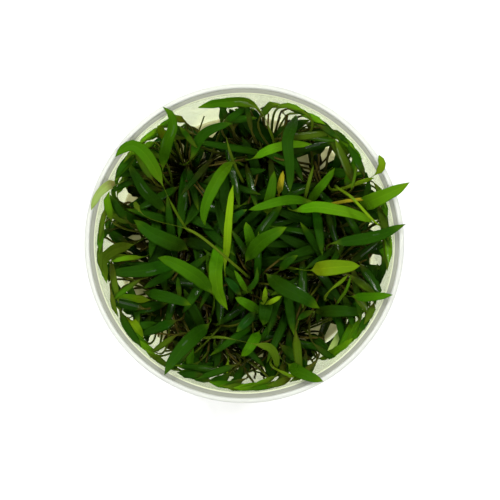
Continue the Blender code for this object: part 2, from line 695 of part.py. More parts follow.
def grow_low_leaves(room):
    """The low leaves of every crown: first the ones that show, then others all round."""
    crowns = [crown_centre(place) for place in CROWN_PLACES]
    grown = [[] for _ in crowns]
    chance = random.Random(LOW_SEED)
    for width, heights, places in LOW_LEAVES:
        points = blade_points(heights, places, 0)
        order = sorted(range(len(crowns)), key=lambda i: np.linalg.norm(crowns[i][:2] - points[0][:2]))
        for index in order[:2]:
            name = f"crown_{index + 1}"
            leaf = place_low_leaf(points, width * MM, crowns[index], name, chance, room)
            if leaf and len(grown[index]) < LEAVES_PER_CROWN:
                grown[index].append(leaf)
                room.add(f"{name}_low_leaf", *leaf_mesh(leaf))
                break
    for index, crown in enumerate(crowns):
        name = f"crown_{index + 1}"
        for attempt in range(LOW_ROUNDS):
            if len(grown[index]) >= LEAVES_PER_CROWN:
                break
            azimuth = attempt * FAN_TURN + index
            reach = chance.uniform(*LOW_REACH)
            points = low_leaf_points(crown, azimuth, reach, chance.uniform(*LOW_TIP_HEIGHTS))
            width = LOW_WIDTH * chance.uniform(*LOW_WIDTHS)
            leaf = place_low_leaf(points, width, crown, name, chance, room)
            if leaf:
                grown[index].append(leaf)
                room.add(f"{name}_low_leaf", *leaf_mesh(leaf))
    return grown


def build_cup(home):
    cup = turned("cup", cup_profile(), CUP_STEPS, home)
    coloured(cup, COLOURS["cup"], CUP_ROUGHNESS, CUP_ALPHA)
    baked(cup)
    shade_round(cup, 30)
    return cup


def build_gel(home, crowns):
    """The gel, with a pocket for the root plug of each crown."""
    gel = turned("gel", gel_profile(), CUP_STEPS, home)
    for crown in crowns:
        pocket = turned("pocket", crown_profile(GAP), CROWN_STEPS, home)
        pocket.location = crown.location
        combine(gel, pocket, "DIFFERENCE")
        bpy.data.objects.remove(pocket)
    coloured(gel, COLOURS["gel"], GEL_ROUGHNESS)
    shade_round(gel, 30)
    return gel


def build_crowns(home):
    crowns = []
    for index, place in enumerate(CROWN_PLACES):
        crown = turned(f"crown_{index + 1}", crown_profile(), CROWN_STEPS, home)
        x, y, _ = crown_centre(place)
        crown.location = (x, y, 0)
        crowns.append(crown)
    return crowns


def build_leaves(home, crowns, cup):
    """All leaves, placed one after another so that each stays clear of those before it."""
    room = Room()
    for thing in (cup, *crowns):
        room.add_object(thing)
    counts = {}
    missing = []
    for number, row in enumerate(UPPER_LEAVES):
        leaf = place_upper_leaf(row, number, room)
        if leaf is None:
            missing.append(number)
            continue
        colour = row[0]
        counts[colour] = counts.get(colour, 0) + 1
        vertices, faces = leaf_mesh(leaf)
        room.add(f"upper_{number}", vertices, faces)
        thing = mesh_object(f"{colour}_leaf_{counts[colour]}", vertices, [], faces, home)
        coloured(thing, COLOURS[colour], LEAF_ROUGHNESS)
    if missing:
        raise ValueError(f"no clear way for upper leaves {missing}")
    for crown, leaves in zip(crowns, grow_low_leaves(room)):
        baked(crown)
        for leaf in leaves:
            vertices, faces = leaf_mesh(leaf)
            low_leaf = mesh_object("low_leaf", vertices, [], faces, home)
            stem = crown.data
            # The exact solver loses the stem where several thin stalks enter it
            combine(crown, low_leaf, "UNION", "MANIFOLD")
            if body_count(crown.data) > 1:
                crown.data = stem
            bpy.data.objects.remove(low_leaf)
        coloured(crown, COLOURS["crown"], LEAF_ROUGHNESS)


def main():
    for thing in list(bpy.data.objects):
        bpy.data.objects.remove(thing)
    home = collection("cryptocoryne_cup")
    cup = build_cup(home)
    crowns = build_crowns(home)
    build_gel(home, crowns)
    build_leaves(home, crowns, cup)


main()
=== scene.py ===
"""Cryptocoryne lucens in a clear growing cup: finish, fine leaves, low growth, gel, cup, light and camera."""

import math
import random

import bmesh
import bpy
import numpy as np
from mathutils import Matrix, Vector
from mathutils.bvhtree import BVHTree


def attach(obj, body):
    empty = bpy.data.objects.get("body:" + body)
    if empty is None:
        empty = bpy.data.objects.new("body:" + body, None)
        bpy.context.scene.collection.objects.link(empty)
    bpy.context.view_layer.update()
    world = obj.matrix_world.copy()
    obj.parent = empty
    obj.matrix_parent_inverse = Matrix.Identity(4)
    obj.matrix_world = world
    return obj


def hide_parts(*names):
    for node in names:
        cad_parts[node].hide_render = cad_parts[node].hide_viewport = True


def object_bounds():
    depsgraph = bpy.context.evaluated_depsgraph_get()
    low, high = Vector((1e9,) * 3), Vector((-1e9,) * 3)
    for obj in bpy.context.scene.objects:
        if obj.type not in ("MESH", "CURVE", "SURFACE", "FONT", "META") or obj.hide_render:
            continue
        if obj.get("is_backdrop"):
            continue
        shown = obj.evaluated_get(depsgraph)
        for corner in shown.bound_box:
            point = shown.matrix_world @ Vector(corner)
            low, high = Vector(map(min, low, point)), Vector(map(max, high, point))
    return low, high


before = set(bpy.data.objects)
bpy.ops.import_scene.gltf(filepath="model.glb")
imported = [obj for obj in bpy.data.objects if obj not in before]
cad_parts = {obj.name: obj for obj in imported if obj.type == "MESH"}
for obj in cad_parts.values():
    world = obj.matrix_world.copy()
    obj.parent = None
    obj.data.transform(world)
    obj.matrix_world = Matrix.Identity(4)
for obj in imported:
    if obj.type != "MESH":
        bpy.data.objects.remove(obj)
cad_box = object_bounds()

MM = 0.001
UP = np.array((0.0, 0.0, 1.0))

# The cup, as the solids have it
RIM_RADIUS = 48 * MM
CUP_HEIGHT = 58 * MM
BASE_RADIUS = 41.6 * MM
WALL = 0.9 * MM
FLOOR = 1.2 * MM
BEAD_WIDTH = 1.4 * MM
BEAD_DEPTH = 3.4 * MM
LEDGE_HEIGHT = 55.8 * MM
LEDGE_WIDTH = 1.6 * MM
ROUND = 0.4 * MM
NECK_RADIUS = RIM_RADIUS - BEAD_WIDTH - LEDGE_WIDTH + WALL
CUP_STEPS = 160
CUP_ROUNDING = 0.6 * MM
# Painted highlight along the neck's inner edge: its width, and how far down the wall it runs
PAINTED_HIGHLIGHT_WIDTH = 0.35 * MM
PAINTED_HIGHLIGHT_DEPTH = 1.2 * MM

GEL_TOP = 12 * MM
GEL_GAP = 0.3 * MM
MENISCUS = 0.8 * MM
MENISCUS_WIDTH = 2.5 * MM
GEL_ROUNDING = 1.0 * MM
GEL_STEPS = 96

CROWN_RADIUS = 2.3 * MM
CROWN_TOP = 17 * MM
ROOT_TIP = 4.5 * MM

# The solids' leaves: half-width and half-height of a stalk, how far a blade is channelled, and how many rings
# of points lie behind the tip of an upper leaf and of a low one
STALK = 0.42 * MM
STALK_RISE = 0.32 * MM
CHANNEL = 0.28
UPPER_RINGS = 6
LOW_RINGS = 4

# A fine leaf's cross-section. Widths of the groove and the midrib are shares of the half-width.
FOLD_CURVED = 0.55
FOLD_STRAIGHT = 0.45
BLADE_THICKNESS = 0.24 * MM
MARGIN_THICKNESS = 0.09 * MM
MIDRIB = 0.16 * MM
MIDRIB_WIDTH = 0.2
GROOVE = 0.07 * MM
GROOVE_WIDTH = 0.12
WAVE = 0.16 * MM
WAVE_LENGTH = 5.2 * MM
THINNEST = 0.06 * MM

# A fine leaf's stations along it and faces across it: upper leaves, leaves between them, and the thicket
FINE_DETAIL = (46, 10)
SMALL_DETAIL = (30, 8)
LOW_DETAIL = (18, 4)
STATION_CURVE = 0.96
LAST_STATION = 0.995

# Where a leaf opens: the width at which it is more than a stalk, and the latest part of its length. The
# stalk takes up this part of the map along the leaf.
OPENS_AT = 1.05
ALWAYS_OPEN_FROM = 0.9
STALK_MAP = 0.25

# A grown leaf: what shapes its blade and its stalk, and the points along each
WIDEST_SHIFT = 0.75
BLADE_FULLNESS = 0.6
STALK_FADE = 0.2
STALK_EASE = 0.42
STALK_POINTS = 7
BLADE_POINTS = 9
MOST_ROLL = 0.35

# The picture: the eye is this high above the rim, and this wide a field shows at the rim's height
EYE_HEIGHT = 550 * MM
FIELD = 150 * MM
IMAGE_SIZE = 500
CUP_CENTRE_PX = (244.3, 243.2)

# Light: how bright the surrounding is, and small softboxes overhead: turn and lean from straight above in
# degrees, and power in watts
WORLD_STRENGTH = 0.9
ZENITH = 0.7
LAMP_SIZE = 0.11
LAMP_DISTANCE = 1.0
LAMPS = (
    (130, 36, 3.2),
    (35, 30, 2.6),
    (215, 33, 2.0),
    (310, 32, 1.8),
    (80, 48, 1.5),
)

COLOURS = {
    "pale": (0.255, 0.350, 0.090),
    "lime": (0.126, 0.232, 0.003),
    "vivid": (0.066, 0.165, 0.002),
    "bright": (0.035, 0.112, 0.001),
    "mid": (0.013, 0.052, 0.001),
    "dark": (0.010, 0.037, 0.001),
    "blue": (0.008, 0.043, 0.003),
    "olive": (0.044, 0.082, 0.003),
    "yellow": (0.330, 0.280, 0.012),
    "brown": (0.072, 0.058, 0.010),
    "stalk": (0.050, 0.060, 0.004),
    "young_stalk": (0.080, 0.120, 0.006),
    "root": (0.50, 0.38, 0.20),
}

# How a leaf's colour varies: its strength, the tone of its base, how green its stalk is and how lime its tip
TONE_VARIES = (0.75, 1.2)
BASE_TONES = (0.7, 0.9, 1.25)
BASE_SHARE = 0.8
BASE_FROM = 0.35
BASE_LENGTH = 0.35
STALK_GREENS = (0.2, 0.6)
OPEN_WIDTH = 0.8 * MM
ALL_BLADE_FROM = 0.6
TIP_LIMES = (0.0, 0.1, 0.25, 0.5)
TIP_LENGTH = 0.14
LOW_TONES = ("mid", "mid", "dark", "blue", "mid")

# Upper leaves that are lighter or darker than their kind
LEAF_TONES = {
    "bright_leaf_1": "vivid",
    "bright_leaf_6": "vivid",
    "bright_leaf_8": "vivid",
    "bright_leaf_11": "vivid",
    "bright_leaf_15": "vivid",
    "bright_leaf_16": "pale",
    "bright_leaf_18": "mid",
    "bright_leaf_19": "mid",
    "bright_leaf_20": "mid",
    "mid_leaf_3": "bright",
    "mid_leaf_8": "olive",
    "mid_leaf_10": "bright",
    "mid_leaf_11": "vivid",
    "mid_leaf_12": "bright",
    "dark_leaf_1": "mid",
    "lime_leaf_2": "pale",
    "lime_leaf_6": "vivid",
    "lime_leaf_7": "vivid",
}

# Where the pale gel shows between the leaves: x, y and radius in millimetres, as seen from above
CLEARINGS = (
    (-11.5, 37.5, 3.6),
    (5.7, 43.0, 1.8),
    (9.3, 36.0, 2.4),
    (25.0, 27.5, 1.5),
    (17.8, 24.5, 1.8),
    (37.5, 23.5, 1.6),
    (-35.5, 13.8, 1.6),
    (-31.5, 2.8, 1.2),
    (-39.5, -1.5, 1.6),
    (-36.5, -10.7, 1.4),
    (-31.5, -14.0, 1.2),
    (-14.0, 24.0, 1.2),
    (-18.5, 28.0, 1.2),
    (-26.0, -28.5, 1.6),
    (-22.5, -34.5, 1.4),
    (-4.0, -33.5, 1.6),
    (3.5, -38.5, 2.0),
    (20.5, -25.5, 1.6),
    (26.5, -26.5, 1.4),
    (38.5, 4.8, 1.2),
    (39.2, -4.5, 1.2),
)

# Small leaves between the large ones: tone, width, heights, and points from base to tip as seen from
# above, in millimetres
SMALL_LEAVES = (
    ("lime", 1.3, (46, 53), ((31, 17), (35, 18.4), (39.3, 19.8))),
    ("olive", 1.2, (42, 46, 47), ((18.3, 14), (19, 17), (20.8, 23.5))),
    ("yellow", 2.0, (41, 45, 44), ((10.4, 15.4), (11, 18.5), (11.6, 21.8))),
    ("olive", 0.9, (36, 44, 46, 46), ((-0.5, 18.5), (-3.5, 25), (-4.5, 28), (-5.5, 32))),
    ("blue", 2.2, (38, 42, 42), ((-3.5, 6.3), (-1.5, 9), (0.8, 10.2))),
    ("bright", 1.8, (40, 44, 45), ((0.3, -14), (-1, -11.5), (-3, -8))),
    ("blue", 2.5, (38, 40, 40), ((-1.5, -15), (-3.5, -12.5), (-6.2, -10))),
    ("mid", 1.8, (34, 38, 39, 39), ((-2, -15.5), (1.5, -13.5), (3.5, -11), (3.8, -7))),
    ("lime", 1.6, (44, 48, 49), ((6, -17.5), (6.2, -15), (6.3, -13))),
    ("lime", 1.6, (43, 46, 46), ((7, -18), (9, -17), (11.3, -15.7))),
    ("mid", 2.5, (36, 39, 39), ((10.8, -7.8), (13, -5.5), (16, -3.5))),
    ("blue", 3.0, (36, 40, 40), ((3, -21), (0, -24), (-2.5, -26.6))),
    ("mid", 2.5, (36, 39, 39), ((-21, -8), (-26, -11), (-30.5, -13.5))),
    ("mid", 1.6, (40, 43), ((-19.4, -16), (-19.8, -13), (-20, -10))),
    ("mid", 1.5, (36, 44, 47, 47), ((-37.7, 12), (-39.5, 15.5), (-39.6, 19), (-37.6, 23.3))),
    ("olive", 2.2, (38, 42), ((-38, 15.3), (-36.5, 18.3), (-34.9, 21.5))),
    ("mid", 1.8, (44, 50), ((-15, 29.5), (-17.4, 32.4), (-19.5, 35))),
    ("lime", 2.8, (47, 52, 54), ((-24, 31), (-25.2, 35), (-26.2, 37))),
    ("olive", 0.9, (50, 52, 50, 46), ((14.5, 40.5), (19, 38.5), (20.5, 36), (19, 32))),
    ("dark", 4.0, (36, 40, 41), ((21, 27), (23.5, 31), (26, 34.5))),
    ("dark", 2.0, (40, 42), ((20.7, 35.5), (23, 35.6), (25.5, 35.3))),
    ("bright", 2.4, (46, 50, 52), ((32, 29.5), (34.5, 28), (37, 26.2))),
    ("yellow", 1.1, (46, 52), ((26, 11.8), (32, 12.9), (38, 13.5))),
    ("lime", 0.9, (46, 56, 57, 55), ((28.5, 16.3), (33, 13), (38.5, 7), (41.3, 4.6))),
    ("bright", 1.0, (48, 50), ((34, 25), (33.2, 20.5), (32, 16))),
    ("lime", 1.2, (48, 50), ((27, -13), (29, -11.5), (31, -9.5))),
    ("bright", 1.0, (44, 49, 50), ((28.5, -17), (31, -13), (32, -9.5))),
    ("dark", 2.6, (38, 43, 45), ((36, -14), (38.5, -10), (40, -6))),
    ("olive", 1.4, (46, 50), ((-25, -33.8), (-27, -34.1), (-28.2, -34))),
    ("dark", 1.0, (46, 48), ((-31, -28.5), (-34, -26), (-36.6, -23))),
    ("lime", 1.2, (50, 53), ((11, -38.5), (13.5, -39.6), (16, -40.2))),
    ("lime", 1.2, (40, 43), ((-5, -36), (-5.2, -37.5), (-5.2, -39))),
    ("mid", 2.5, (36, 40), ((20.5, -28), (23, -30), (25.5, -32))),
    ("dark", 2.0, (38, 40), ((31, -24.5), (33.3, -24.2), (35.5, -24.5))),
    ("olive", 1.2, (42, 44), ((32, -26), (33.5, -26.4), (35, -27.3))),
    ("mid", 2.0, (40, 42), ((20, -20.5), (18, -21.4), (16, -23))),
    ("mid", 1.3, (38, 42), ((-10.5, -9), (-11, -6), (-11.2, -2.5))),
    ("dark", 2.2, (34, 40, 42), ((-9, -30), (-8, -34), (-9, -38))),
    ("dark", 2.5, (34, 40, 42), ((-13, -31), (-15, -35), (-15.5, -39))),
)

# Bare stalks that cross the pale gel: tone, heights and points as seen from above, in millimetres
BARE_STALKS = (
    ("stalk", (30, 38, 36), ((5, 40.5), (8.5, 42), (14.5, 42))),
    ("stalk", (24, 34), ((11.5, 40.5), (12.4, 38), (12, 35))),
    ("brown", (16, 30, 36), ((11, 29), (12.2, 34), (12.8, 38.5))),
    ("brown", (18, 26, 30), ((22.5, 23.5), (25.2, 26.5), (27, 30.5))),
    ("brown", (20, 24, 22), ((-37, 11.7), (-34, 12.2), (-31.5, 10))),
    ("brown", (15, 20), ((-31.5, 9.5), (-30.5, 7.5), (-29, 5.5))),
    ("brown", (18, 24, 22), ((-7, -35), (-1, -36.6), (5.5, -35.6))),
    ("brown", (14, 22), ((0, -38.8), (3, -37.8), (6.5, -35.6))),
    ("brown", (16, 22), ((2.2, -36.6), (3.2, -38.6), (3, -41))),
    ("brown", (16, 22), ((5, -37.2), (5.9, -39), (5.8, -41))),
)

# The thicket under the upper leaves, in layers from the gel up: ring that it fills, heights of the leaves,
# widths, lengths, spacing as seen from above, and tones
LAYERS = (
    ((0, 44), (14, 19), (3.0, 4.4), (8, 14), 3.9, ("brown", "dark", "brown", "dark")),
    ((0, 43), (18, 26), (2.4, 3.6), (12, 22), 4.4, ("dark", "dark", "brown", "olive")),
    ((0, 43), (25, 33), (2.2, 3.8), (14, 24), 4.4, ("dark", "mid", "dark", "blue")),
    ((0, 43), (31, 38), (2.0, 3.8), (12, 24), 4.6, ("mid", "dark", "mid", "mid")),
    ((36, 45), (36, 44), (2.0, 3.4), (9, 17), 3.6, ("mid", "dark", "mid", "dark")),
    ((38, 45.5), (43, 50), (1.8, 3.2), (8, 15), 3.8, ("mid", "bright", "olive", "dark")),
    ((42, 46), (48, 53), (1.6, 2.6), (7, 13), 3.2, ("olive", "vivid", "bright", "mid")),
)

# How a layer's leaves are strewn: tries for each, how much its stalk sways, how far it lies from its point
# of a grid whose rows are closer than its columns, and how far off its crown may be. A blade runs over these
# points, as shares of its length out and up, and then climbs to its tip.
LAYER_TRIES = 10
LAYER_SWAY = 2 * MM
JITTER = 0.35
ROW_HEIGHT = 0.87
CROWN_SPREAD = 0.8
BLADE_COURSE = ((-0.5, -0.3), (-0.15, 0), (0.2, 0.12))
CLIMBS = (-0.15, 0.45)

# Which way they point, in radians: spread about the way out from the crown, and turn from the way out of the
# cup in a layer along the wall, which is greater where its ring starts beyond this many millimetres
HEADING_SPREAD = 0.5
NEAR_CROWN = 3 * MM
WALL_RING = 40
LEAST_TURN = 0.2
LEAST_WALL_TURN = 1.1
MOST_TURN = 1.6

# What is tested of a leaf: its line without the first rows, and this share of its width beside the pale gel
HIDDEN_ROWS = 5
CLEAR_SHARE = 0.35

SMALL_TRIES = 30
SMALL_SWAY = 4 * MM

# The shade under the leaves
SHADE_FROM = 13 * MM
SHADE_TO = 41 * MM
SHADE_CURVE = 1.5
DEEPEST_SHADE = 0.30

# Wet streaks: share of the leaves that have them, how many, over which part of the leaf, and how long
WET_SHARE = 0.5
WET_SPOTS = 2
WET_PART = (0.3, 0.9)
WET_LENGTHS = (2, 3, 4)

# Stems, roots and stalks. A stalk's course is given as shares of its reach and of its height.
STEM_SIDES = 24
RIDGES = 5
RIDGE_DEPTH = 0.12
RIDGE_TWIST = 400
ROOTS_PER_CROWN = 9
ROOT_RADIUS = 0.26 * MM
STALKS_PER_CROWN = 14
STALK_COURSE = ((0.07, 0.0), (0.25, 0.55), (0.6, 0.95), (1.0, 0.9))
BARE_STALK_RADIUS = 0.38 * MM
ASKEW = (0.3, 0.9, 0.2)

# The leaf's pattern: how sharp the midrib is, how close and how sharp the nerves are, and the noises' scales
MIDRIB_SHARPNESS = 26
NERVE_DENSITY = 75
NERVE_SHARPNESS = 8
MOTTLE_SCALE = 900
PATCH_SCALE = 160
WET_SCALE = 420


def unit(vector):
    return vector / max(np.linalg.norm(vector), 1e-9)


def lengths_along(points):
    steps = np.linalg.norm(np.diff(points[:, :3], axis=0), axis=1)
    return np.concatenate(((0.0,), np.cumsum(steps)))


def smooth_at(values, marks, places):
    """Values on smooth curves through the given ones, at places along them."""
    slopes = np.gradient(values, marks, axis=0)
    spans = np.clip(np.searchsorted(marks, places, side="right") - 1, 0, len(marks) - 2)
    widths = (marks[spans + 1] - marks[spans])[:, None]
    u = (places - marks[spans])[:, None] / widths
    start = (1 + 2 * u) * (1 - u) ** 2 * values[spans] + u * (1 - u) ** 2 * widths * slopes[spans]
    end = u**2 * (3 - 2 * u) * values[spans + 1] + u**2 * (u - 1) * widths * slopes[spans + 1]
    return start + end


def smooth_curve(points, count):
    points = np.array(points, dtype=float)
    marks = lengths_along(points)
    return smooth_at(points, marks, np.linspace(0, marks[-1], count))


def bezier(a, b, c, d, count):
    t = np.linspace(0, 1, count)[:, None]
    return (1 - t) ** 3 * a + 3 * t * (1 - t) ** 2 * b + 3 * t**2 * (1 - t) * c + t**3 * d


def inner_radius(height):
    """The cup's inside radius at a height."""
    bottom = BASE_RADIUS - WALL
    top = NECK_RADIUS - WALL
    return bottom + (top - bottom) * min(height / LEDGE_HEIGHT, 1)


def seen_from_above(x, y, height):
    """Where a point at a height has to be, to be seen at x, y (in millimetres) from the eye point."""
    scale = (EYE_HEIGHT + CUP_HEIGHT - height) / EYE_HEIGHT * MM
    return np.array((x * scale, y * scale, height))


def blocks_clearing(path, room):
    """Whether a path shows in one of the openings through which the gel is seen."""
    scale = EYE_HEIGHT / (EYE_HEIGHT + CUP_HEIGHT - path[:, 2])
    seen = path[:, :2] * scale[:, None] / MM
    return any((np.hypot(*(seen - (x, y)).T) < radius + room).any() for x, y, radius in CLEARINGS)


def inside_wall(path, room):
    """Hold a path inside the cup, except where it is high enough to pass over the rim."""
    held = path.copy()
    for point in held:
        if point[2] > CUP_HEIGHT + ROUND:
            continue
        most = inner_radius(point[2]) - room
        radius = math.hypot(point[0], point[1])
        if radius > most:
            point[:2] *= most / radius
    return held


class Growth:
    """A mesh in the making: surfaces with a colour at each vertex and a map along and across them."""

    def __init__(self):
        self.vertices = []
        self.faces = []
        self.colours = []
        self.map = []
        self.wet = set()

    def add_wet_spot(self, face, ring, ring_count, corners):
        """Mark a strip of faces along a leaf as wet. The face is the strip's in the leaf's first ring."""
        self.wet.update(face + i * corners for i in range(ring, ring + ring_count))

    def add_rings(self, rings, colours, across, along, tip=None):
        """Join rings of points to a closed surface. Each ring has a colour and a place along the map."""
        first = len(self.vertices)
        count = len(rings[0])
        for ring, colour, place in zip(rings, colours, along):
            self.vertices += [tuple(point) for point in ring]
            self.colours += [colour] * count
            self.map += [(part, place) for part in across]
        self.faces.append(tuple(first + i for i in reversed(range(count))))
        for ring in range(len(rings) - 1):
            for i in range(count):
                a = first + ring * count + i
                b = first + ring * count + (i + 1) % count
                self.faces.append((a, b, b + count, a + count))
        last = first + (len(rings) - 1) * count
        if tip is None:
            self.faces.append(tuple(last + i for i in range(count)))
            return
        self.vertices.append(tuple(tip))
        self.colours.append(colours[-1])
        self.map.append((0.5, 1.0))
        end = len(self.vertices) - 1
        self.faces += [(last + i, last + (i + 1) % count, end) for i in range(count)]

    def make(self, name, materials):
        mesh = bpy.data.meshes.new(name)
        mesh.from_pydata(self.vertices, [], self.faces)
        tones = mesh.color_attributes.new("tone", "FLOAT_COLOR", "POINT")
        tones.data.foreach_set("color", np.array([(*c, 1.0) for c in self.colours]).ravel())
        corners = np.empty(len(mesh.loops), dtype=np.int32)
        mesh.loops.foreach_get("vertex_index", corners)
        mapped = mesh.uv_layers.new(name="leaf")
        mapped.data.foreach_set("uv", np.array(self.map)[corners].ravel())
        mesh.shade_smooth()
        for material in materials:
            mesh.materials.append(material)
        for number in self.wet:
            mesh.polygons[number].material_index = 1
        thing = bpy.data.objects.new(name, mesh)
        bpy.context.scene.collection.objects.link(thing)
        return thing


def section(half, across, phase, place):
    """A fine cross-section: a round stalk that opens into a thin channelled blade with a midrib."""
    opening = min(max((half - STALK) / MM, 0), 1)
    lift = CHANNEL * max(half - STALK, 0)

    def fold(v):
        return lift * (FOLD_CURVED * v * v + FOLD_STRAIGHT * abs(v))

    def wave(v):
        return WAVE * opening * v * abs(v) * math.sin(math.tau * place / WAVE_LENGTH + phase)

    def roundness(v):
        return STALK_RISE * (1 - opening) * math.sqrt(max(1 - v * v, 0))

    upper = np.linspace(1, -1, across + 1)
    lower = upper[-2:0:-1]
    points = []
    for v in upper:
        groove = GROOVE * opening * math.exp(-((v / GROOVE_WIDTH) ** 2))
        points.append((half * v, fold(v) - groove + wave(v) + roundness(v)))
    for v in lower:
        thick = MARGIN_THICKNESS + (BLADE_THICKNESS - MARGIN_THICKNESS) * (1 - v * v)
        keel = thick + MIDRIB * math.exp(-((v / MIDRIB_WIDTH) ** 2))
        points.append((half * v, fold(v) - keel * opening + wave(v) - roundness(v)))
    parts = [0.5 - 0.5 * v for v in (*upper, *lower)]
    return points, parts


def mix(a, b, t):
    t = min(max(t, 0), 1)
    return tuple(x + (y - x) * t for x, y in zip(a, b))


def depth_shade(height):
    """How much of its colour a leaf keeps in the shade of the others, at a height."""
    part = min(max((height - SHADE_FROM) / (SHADE_TO - SHADE_FROM), 0), 1)
    return DEEPEST_SHADE + (1 - DEEPEST_SHADE) * part**SHADE_CURVE


def leaf_colours(tone, heights, halves, along, chance, deep):
    """The colour at each station: stalk to blade, a base of another tone, and a tip that may turn lime,
    darkened by painted shade that deepens towards the gel.
    """
    vary = chance.uniform(*TONE_VARIES)
    blade = tuple(channel * vary for channel in COLOURS[tone])
    other = tuple(channel * chance.choice(BASE_TONES) for channel in blade)
    base = mix(blade, other, BASE_SHARE)
    stalk = mix(COLOURS["brown" if deep else "young_stalk"], blade, chance.uniform(*STALK_GREENS))
    tip = mix(blade, COLOURS["lime"], chance.choice(TIP_LIMES))
    colours = []
    for height, half, place in zip(heights, halves, along):
        opening = (half - STALK) / OPEN_WIDTH + (0.5 if place > ALL_BLADE_FROM else 0)
        colour = mix(stalk, mix(base, blade, (place - BASE_FROM) / BASE_LENGTH), opening)
        colour = mix(colour, tip, (place - (1 - TIP_LENGTH)) / TIP_LENGTH)
        colours.append(tuple(channel * depth_shade(height) for channel in colour))
    return colours


def blade_start(line, marks):
    """How far along its line a leaf begins to open."""
    opened = [mark for mark, row in zip(marks, line) if row[6] > STALK * OPENS_AT]
    if not opened:
        return marks[-1] * ALWAYS_OPEN_FROM
    return marks[max(int(np.searchsorted(marks, opened[0])) - 1, 0)]


def add_leaf(growth, line, tone, chance, detail, deep=False):
    """Loft a fine leaf along a line of (centre, side, half-width) rows that ends at the tip."""
    stations, across = detail
    marks = lengths_along(line)
    end = marks[-1]
    blade_from = blade_start(line, marks)
    places = np.linspace(0, 1, stations) ** STATION_CURVE * end * LAST_STATION
    rows = smooth_at(line, marks, places)
    halves = np.maximum(rows[:, 6], THINNEST)
    phase = chance.uniform(0, math.tau)
    rings = []
    along = []
    for i, row in enumerate(rows):
        forward = unit(rows[min(i + 1, len(rows) - 1), :3] - rows[max(i - 1, 0), :3])
        side = unit(row[3:6] - forward * np.dot(row[3:6], forward))
        above = np.cross(forward, side)
        outline, parts = section(halves[i], across, phase, places[i])
        rings.append([row[:3] + side * x + above * z for x, z in outline])
        if places[i] < blade_from:
            along.append(STALK_MAP * places[i] / max(blade_from, 1e-6))
        else:
            along.append(STALK_MAP + (1 - STALK_MAP) * (places[i] - blade_from) / (end - blade_from))
    colours = leaf_colours(tone, rows[:, 2], halves, along, chance, deep)
    first_face = len(growth.faces)
    growth.add_rings(rings, colours, parts, along, line[-1, :3])
    if chance.random() < WET_SHARE:
        for _ in range(WET_SPOTS):
            ring = int(chance.uniform(*WET_PART) * (stations - 3))
            side = chance.randrange(across - 1)
            growth.add_wet_spot(first_face + 1 + side, ring, chance.choice(WET_LENGTHS), len(parts))


def add_tube(growth, points, radius, tone, taper=1.0, sides=6):
    """A round stalk or root along a smooth curve."""
    path = smooth_curve(points, max(8, 3 * len(points)))
    side = unit(np.cross(path[1] - path[0], ASKEW))
    angles = [math.tau * k / sides for k in range(sides)]
    rings = []
    for i, centre in enumerate(path):
        forward = unit(path[min(i + 1, len(path) - 1)] - path[max(i - 1, 0)])
        side = unit(side - forward * np.dot(side, forward))
        above = np.cross(forward, side)
        thick = radius * (1 + (taper - 1) * i / (len(path) - 1))
        rings.append([centre + side * math.cos(a) * thick - above * math.sin(a) * thick for a in angles])
    across = [0.25 + 0.5 * k / sides for k in range(sides)]
    along = [STALK_MAP * 0.8 * i / len(path) for i in range(len(path))]
    colours = [tuple(channel * depth_shade(point[2]) for channel in COLOURS[tone]) for point in path]
    growth.add_rings(rings, colours, across, along)


def welded(node):
    """A node's vertices joined by place, and which of them share an edge."""
    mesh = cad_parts[node].data
    known = {}
    points = []
    number = []
    for vertex in mesh.vertices:
        key = tuple(round(c * 1e6) for c in vertex.co)
        if key not in known:
            known[key] = len(points)
            points.append(np.array(vertex.co))
        number.append(known[key])
    near = [set() for _ in points]
    for polygon in mesh.polygons:
        corners = [number[i] for i in polygon.vertices]
        for i, corner in enumerate(corners):
            other = corners[i - 1]
            if other != corner:
                near[corner].add(other)
                near[other].add(corner)
    return points, near


def rings_from_tip(tip, near):
    """The rings of four points that lie one after another behind a leaf's tip."""
    rings = []
    seen = {tip}
    front = {tip}
    while True:
        front = set().union(*(near[i] for i in front)) - seen
        if len(front) != 4:
            return rings
        seen |= front
        rings.append(front)


def ring_row(ring, points, forward, before):
    """Centre, side and half-width of a ring. The blade's fold lies above its thick middle."""
    corners = [points[i] for i in ring]
    pairs = [(i, j) for i in range(4) for j in range(i + 1, 4)]
    wide = max(pairs, key=lambda pair: np.linalg.norm(corners[pair[0]] - corners[pair[1]]))
    left, right = corners[wide[0]], corners[wide[1]]
    middle = (left + right) / 2
    rest = [corner for i, corner in enumerate(corners) if i not in wide]
    rest.sort(key=lambda corner: np.linalg.norm(corner - middle))
    upward = rest[0] - rest[1]
    half = np.linalg.norm(left - right) / 2
    side = unit(left - right)
    above = np.cross(forward, side)
    if half < 1.4 * STALK and before is not None:
        if np.dot(side, before) < 0:
            side = -side
    elif np.dot(above, upward) < 0:
        side = -side
    above = np.cross(forward, side)
    centre = middle - unit(above) * CHANNEL * max(half - STALK, 0)
    return np.concatenate((centre, side, (half,)))


def leaf_line(tip, points, near):
    """The line of a leaf from its stalk to its tip, read from a solid's rings."""
    rings = rings_from_tip(tip, near)
    middles = [points[tip]] + [np.mean([points[i] for i in ring], axis=0) for ring in rings]
    rows = []
    before = None
    for i, ring in enumerate(rings):
        forward = unit(middles[i] - middles[min(i + 2, len(middles) - 1)])
        row = ring_row(ring, points, forward, before)
        before = row[3:6]
        rows.append(row)
    end = np.concatenate((points[tip], rows[0][3:6], (0.0,)))
    return np.array(rows[::-1] + [end])


def tips_of(points, near, least):
    """The vertices that a leaf's rings lie behind."""
    ends = [i for i in range(len(points)) if len(near[i]) == 4]
    return [i for i in ends if len(rings_from_tip(i, near)) >= least]


